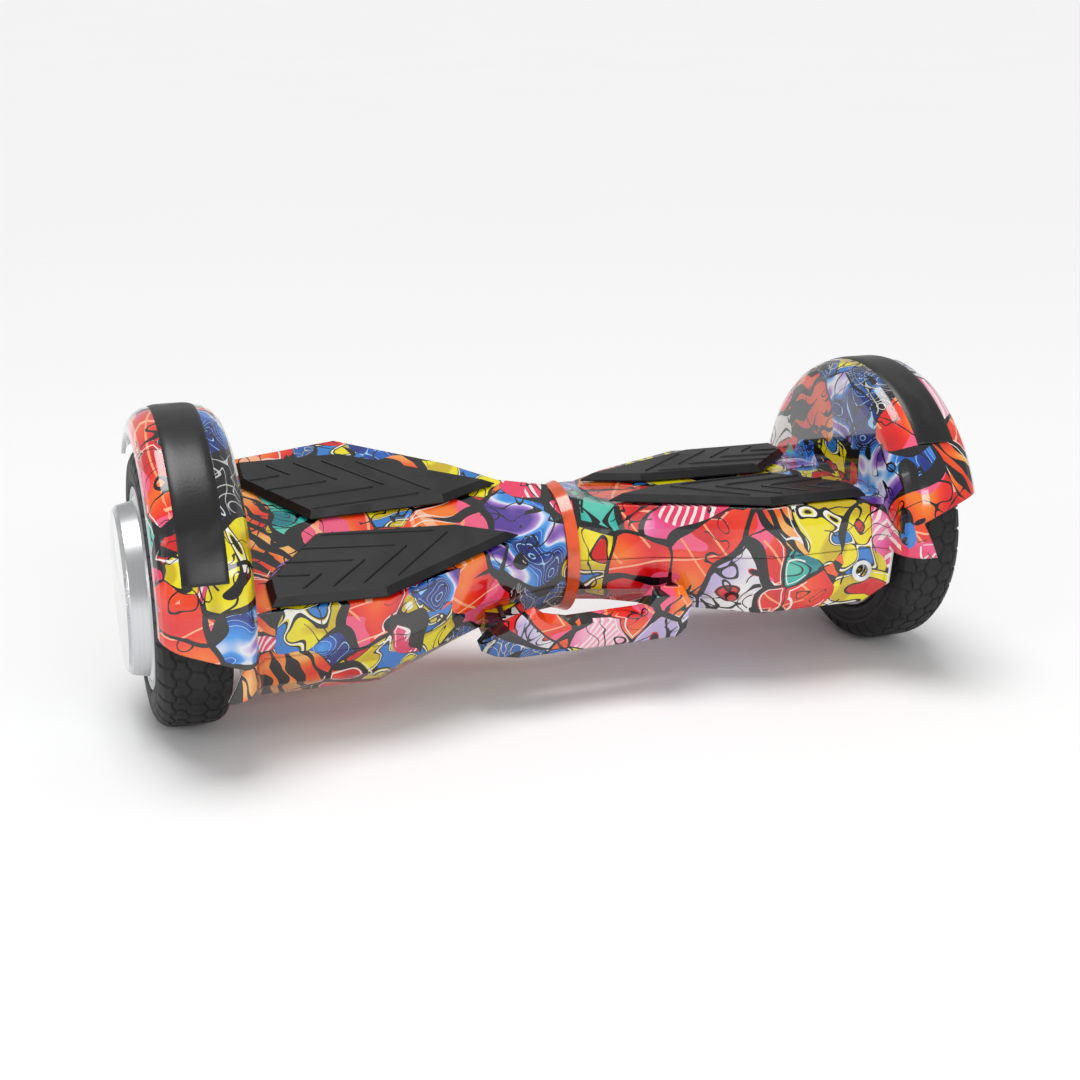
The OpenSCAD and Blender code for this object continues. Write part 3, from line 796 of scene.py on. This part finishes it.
@dataclass
class Tyre:
    """A tyre with a block tread: a profile of radius and width carried round the axle."""

    half: Half
    radius: float = 100.0
    width: float = 51.4
    middle: float = 278.3
    rim: float = 68.0
    around: int = 660
    pitch_count: int = 38
    groove: float = 1.5
    sipe_depth: float = 0.8
    ring_depth: float = 0.9
    rib_depth: float = 0.25
    inner_groove: tuple[float, float] = (4.6, 2.8)
    outer_groove: tuple[float, float] = (14.4, 2.6)
    groove_edge: tuple[float, float] = (0.35, 0.95)

    def profile(self) -> np.ndarray:
        """The section as [radius, across] points, evenly spaced along its outer side.

        Returns:
            The points of one closed loop from the inner bead over the tread and back under the rim.
        """
        w, r = self.width / 2, self.radius
        keys = np.array([
            [self.rim, -w + 3.7], [self.rim + 4.6, -w + 3.7], [self.rim + 8, -w], [r - 17, -w],
            [r - 9.5, -w + 0.6], [r - 4.2, -w + 3.4], [r - 1.2, -w + 8.0], [r - 0.2, -w + 13.0], [r, 0.0]])
        keys = np.concatenate([keys, (keys * [1, -1])[-2::-1]])
        counts = [3, 4, 8, 8, 9, 8, 8, 18, 18, 8, 8, 9, 8, 8, 4, 3]
        parts = [np.linspace(keys[i], keys[i + 1], n, endpoint=False) for i, n in enumerate(counts)]
        loop = np.concatenate(parts + [keys[-1:], np.linspace(keys[-1], keys[0], 7)[1:-1]])
        for _ in range(2):
            inner = (loop[:-2] + 2 * loop[1:-1] + loop[2:]) / 4
            loop[1:-1] = np.where((loop[1:-1, :1] > self.rim + 6), inner, loop[1:-1])
        return loop

    def depth(self, angle: np.ndarray, across: np.ndarray, radius: np.ndarray) -> np.ndarray:
        """How deep the surface is cut.

        Zig-zag grooves run round on both sides of the middle, each at a distance and with a swing of its
        own. Slots join them in every pitch, lugs part the shoulder, and a thin ring and fine ribs mark the
        sidewall.

        Args:
            angle: Angle round the axle.
            across: Distance across the tyre, in millimetres.
            radius: Radius of each point.

        Returns:
            The cut, in millimetres.
        """
        pitch = angle / (2 * np.pi) * self.pitch_count
        pitch_length = 2 * np.pi * self.radius / self.pitch_count
        saw = 2 * np.abs((pitch % 1.0) - 0.5)
        side = np.abs(across)
        kink = np.clip(saw * 2 - 0.5, 0, 1)
        near, far = self.inner_groove, self.outer_groove
        inner = 1 - smooth_step(np.abs(side - near[0] - near[1] * kink), *self.groove_edge)
        outer = 1 - smooth_step(np.abs(side - far[0] - far[1] * (1 - kink)), *self.groove_edge)
        shift = pitch + 0.5 * (side > 7.2) + across * 0.012
        slot = 1 - smooth_step(np.abs((shift % 1.0) - 0.5) * pitch_length, *self.groove_edge)
        middle_slot = slot * (side < 5.8)
        flank_slot = slot * (side > 8.4) * (side < 14.0)
        lug = 1 - smooth_step(np.abs(((pitch + 0.25) % 1.0) - 0.5) * pitch_length, 0.6, 1.3)
        lug = lug * smooth_step(side, 16.5, 17.5) * smooth_step(radius, self.radius - 12.5, self.radius - 11)
        tread = np.maximum.reduce([inner, outer, middle_slot, flank_slot]) * (radius > self.radius - 4)
        sipe = 1 - smooth_step(np.abs((pitch * 2 % 1.0) - 0.5) * 7.1, 0.2, 0.5)
        sipe = sipe * (side > 9.2) * (side < 13.2) * (tread < 0.2)
        ring = 1 - smooth_step(np.abs(radius - (self.radius - 15.0)), 0.4, 1.0)
        ribs = 0.5 + 0.5 * np.cos((radius - self.rim) * 2.4)
        wall = (side > self.width / 2 - 2.5) * (radius < self.radius - 17) * (radius > self.rim + 8)
        cuts = np.maximum(tread, lug) * self.groove + sipe * self.sipe_depth
        return cuts + ring * self.ring_depth + ribs * wall * self.rib_depth

    def build(self, palette: Palette) -> None:
        """Builds the tyre, which stands for its CAD solid.

        Args:
            palette: The finishes.
        """
        loop = self.profile()
        angle = np.arange(self.around)[:, None] * (2 * np.pi / self.around)
        radius, across = loop[None, :, 0], loop[None, :, 1]
        slope = np.gradient(loop, axis=0)
        normal = np.stack([-slope[:, 1], slope[:, 0]], axis=-1)
        normal *= np.sign((normal * (loop - [self.rim + 14, 0])).sum(axis=1, keepdims=True))
        normal /= np.linalg.norm(normal, axis=1, keepdims=True) + 1e-9
        cut = self.depth(angle + 0 * across, across + 0 * angle, radius + 0 * angle) * (radius > self.rim + 7)
        r = radius - cut * normal[None, :, 0]
        x = across - cut * normal[None, :, 1] + self.middle
        points = np.stack([x + 0 * angle, r * np.cos(angle), r * np.sin(angle)], axis=-1)
        name = f"{self.half.name}_tyre_tread"
        piece = surface(name, self.half.place(points), (True, True), self.half.mirrored)
        palette.dress(piece, "tyre_rubber")
        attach(piece, f"{self.half.name}_wheel")
        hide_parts(f"{self.half.name}_tyre")
        LOG.info("built %s with %d faces", piece.name, len(piece.data.polygons))


@dataclass
class BumperStrip:
    """The rubber strip over a fender, with a crowned outer face and soft edges."""

    half: Half
    seat: float = 127.0
    thickness: float = 1.5
    width: float = 31.0
    middle: float = 273.2
    low: float = 40.0
    sunk: float = 0.3

    def build(self, palette: Palette) -> None:
        """Builds the strip, which stands for its CAD solid.

        The underside lies a little way in the fender's band, and the outer face stands over it by the strip's
        whole height times (1 less 0.9 s to the sixth), s running from -1 to 1 across. The ends are closed.

        Args:
            palette: The finishes.
        """
        s = np.sin(np.linspace(-np.pi / 2, np.pi / 2, 25))
        floor = self.seat - self.sunk
        crown = floor + (self.thickness + self.sunk) * (1 - 0.9 * s ** 6)
        top = np.stack([crown, s * self.width / 2], axis=-1)
        under = np.stack([np.full(7, floor), np.linspace(1, -1, 9)[1:-1] * self.width / 2], axis=-1)
        loop = np.concatenate([top, under])
        angle = np.radians(np.linspace(self.low, 180 - self.low, 120))
        ends = np.ones(angle.size + 2)
        ends[[0, -1]] = 0.0
        angle = np.concatenate([angle[:1], angle, angle[-1:]])[:, None]
        centre = np.array([self.seat - 0.1, 0.0])
        section = centre + (loop - centre)[None] * ends[:, None, None]
        r, x = section[..., 0], section[..., 1] + self.middle
        points = np.stack([x, r * np.cos(angle), r * np.sin(angle)], axis=-1)
        name = f"{self.half.name}_bumper_strip"
        piece = surface(f"{name}_crowned", self.half.place(points), (False, True), not self.half.mirrored)
        piece.data.polygons.foreach_set("use_smooth", np.repeat(
            np.concatenate([[False], np.ones(angle.size - 3, bool), [False]]), loop.shape[0]))
        palette.dress(piece, "bumper_rubber")
        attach(piece, f"{self.half.name}_half")
        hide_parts(name)
        LOG.info("built %s", piece.name)


@dataclass
class MatRibs:
    """Four nested chevrons of raised ribs on a foot mat, each a pair of strokes that point inboard."""

    half: Half
    end: str
    top: float = 46.0
    width: float = 1.9
    height: float = 1.1
    sunk: float = 0.15
    strokes: list[tuple[float, float, float, float]] = field(default_factory=lambda: [
        (182, 15, 98, 22), (198, 28, 130, 34), (211, 41, 163, 45.5), (219, 54, 196, 56.5),
        (89, 23.5, 138, 67), (122, 34.5, 163, 71), (155, 45.5, 184, 71), (188, 56, 204, 70)])

    def build(self, palette: Palette) -> None:
        """Builds all the strokes of one mat as one mesh.

        Each stroke is a line with a rounded ridge for its section, height times the root of 1 less s squared,
        and its ends run out as a half ellipse.

        Args:
            palette: The finishes.
        """
        along = np.linspace(-1, 1, 26)
        around = np.linspace(0, np.pi, 9)
        sign = -1.0 if self.end == "front" else 1.0
        ends = np.array(self.strokes)
        start, stop = ends[:, None, None, :2], ends[:, None, None, 2:]
        length = np.linalg.norm(stop - start, axis=-1, keepdims=True)
        unit = (stop - start) / length
        normal = np.stack([-unit[..., 1], unit[..., 0]], axis=-1)
        run = along[None, :, None, None] * length / 2
        past = np.clip((np.abs(run) - (length / 2 - self.width)) / self.width, 0, 1)
        tip = np.sqrt(np.clip(1 - past ** 2, 0, 1))
        across = np.cos(around)[None, None, :, None] * self.width / 2 * tip
        flat = (start + stop) / 2 + unit * run + normal * across
        lift = self.top - self.sunk + np.sin(around)[None, None, :] * self.height * tip[..., 0]
        points = np.stack([flat[..., 0], sign * flat[..., 1], lift], axis=-1)
        count, rows, cols = points.shape[:3]
        firsts = (np.arange(count) * rows * cols)[:, None, None]
        quads = (grid_quads(rows, cols, (False, False))[None] + firsts).reshape(-1, 4)
        if self.half.sign * sign > 0:
            quads = quads[:, ::-1]
        name = f"{self.half.name}_{self.end}_mat"
        piece = solid(f"{name}_ribs", self.half.place(points).reshape(-1, 3), quads)
        palette.dress(piece, "mat_rubber")
        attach(piece, name)
        LOG.info("built %s", piece.name)


# ------------------------------------------------------------------ studio


@dataclass
class Studio:
    """The camera, the pale floor and soft lights."""

    place: Colour = (-0.3949, -1.1307, 0.4745)
    look: Colour = (0.3109, 0.9036, -0.2947)
    lens: float = 54.8
    sky: float = 0.46
    sun_width: float = 34.0
    sun_toward: Colour = (0.1, -0.1, -1.0)
    sun_power: float = 1.62
    floor_reach: float = 45.0
    flat_reach: float = 5.0

    def camera(self) -> None:
        """Sets up the camera."""
        data = bpy.data.cameras.new("camera")
        data.lens, data.sensor_width = self.lens, 36.0
        camera = bpy.data.objects.new("camera", data)
        camera.location = self.place
        camera.rotation_euler = Vector(self.look).to_track_quat("-Z", "Y").to_euler()
        bpy.context.scene.collection.objects.link(camera)
        bpy.context.scene.camera = camera

    def floor(self) -> None:
        """Lays a wide pale floor that rises gently behind, so that it meets the sky above the view.

        Its height is 0.0019 times the square of how far it lies beyond its flat middle.
        """
        y = np.linspace(-self.floor_reach, self.floor_reach, 61)
        z = 0.0019 * np.clip(np.abs(y) - self.flat_reach, 0, None) ** 2 - 0.0002
        x = np.linspace(-self.floor_reach, self.floor_reach, 3)[:, None]
        points = np.stack([x + 0 * y, y + 0 * x, z + 0 * x], axis=-1)
        floor = surface("floor", points, (False, False))
        g = Graph("floor_paper")
        tone = g.noise(0.8, 2.0)
        floor.data.materials.append(g.finish({
            "Base Color": g.mix((0.93, 0.93, 0.93), (0.95, 0.95, 0.95), tone), "Roughness": 0.9,
            "Specular IOR Level": 0.1}))

    def sun(self) -> None:
        """Adds a wide, soft sun that lights the whole floor evenly."""
        data = bpy.data.lights.new("sky_panel", "SUN")
        data.angle, data.energy = math.radians(self.sun_width), self.sun_power
        lamp = bpy.data.objects.new("sky_panel", data)
        lamp.rotation_euler = Vector(self.sun_toward).to_track_quat("-Z", "Y").to_euler()
        bpy.context.scene.collection.objects.link(lamp)

    def light(
        self, name: str, place: Colour, target: Colour, size: tuple[float, float], power: float
    ) -> None:
        """Adds a soft rectangular light.

        Args:
            name: Its name.
            place: Where it hangs.
            target: What it faces.
            size: Its width and height.
            power: Its power in watts.
        """
        data = bpy.data.lights.new(name, "AREA")
        data.shape, data.size, data.size_y, data.energy = "RECTANGLE", *size, power
        lamp = bpy.data.objects.new(name, data)
        lamp.location = place
        lamp.rotation_euler = (Vector(target) - Vector(place)).to_track_quat("-Z", "Y").to_euler()
        bpy.context.scene.collection.objects.link(lamp)

    def build(self) -> None:
        """Builds the camera, floor, world and lights."""
        self.camera()
        self.floor()
        world = bpy.data.worlds.new("studio")
        world.use_nodes = True
        back = world.node_tree.nodes["Background"]
        back.inputs[0].default_value = (1, 1, 1, 1)
        back.inputs[1].default_value = self.sky
        bpy.context.scene.world = world
        bpy.context.scene.view_settings.view_transform = "Standard"
        self.sun()
        self.light("front_softbox", (0.4, -2.0, 1.0), (0, 0, 0.1), (1.4, 0.35), 9)
        self.light("left_softbox", (-1.9, -0.6, 0.7), (0, 0, 0.1), (0.5, 0.9), 5)


def main() -> None:
    """Builds the board's looks in order."""
    logging.basicConfig(level=logging.INFO, format="%(name)s: %(message)s")
    Studio().build()
    palette = Palette()
    palette.dress_nodes()
    halves = (Half("left", -1.0, 23.0), Half("right", 1.0, 0.0))
    for half in halves:
        Tyre(half).build(palette)
        BumperStrip(half).build(palette)
        for end in ("front", "rear"):
            MatRibs(half, end).build(palette)


if __name__ == "__main__":
    main()
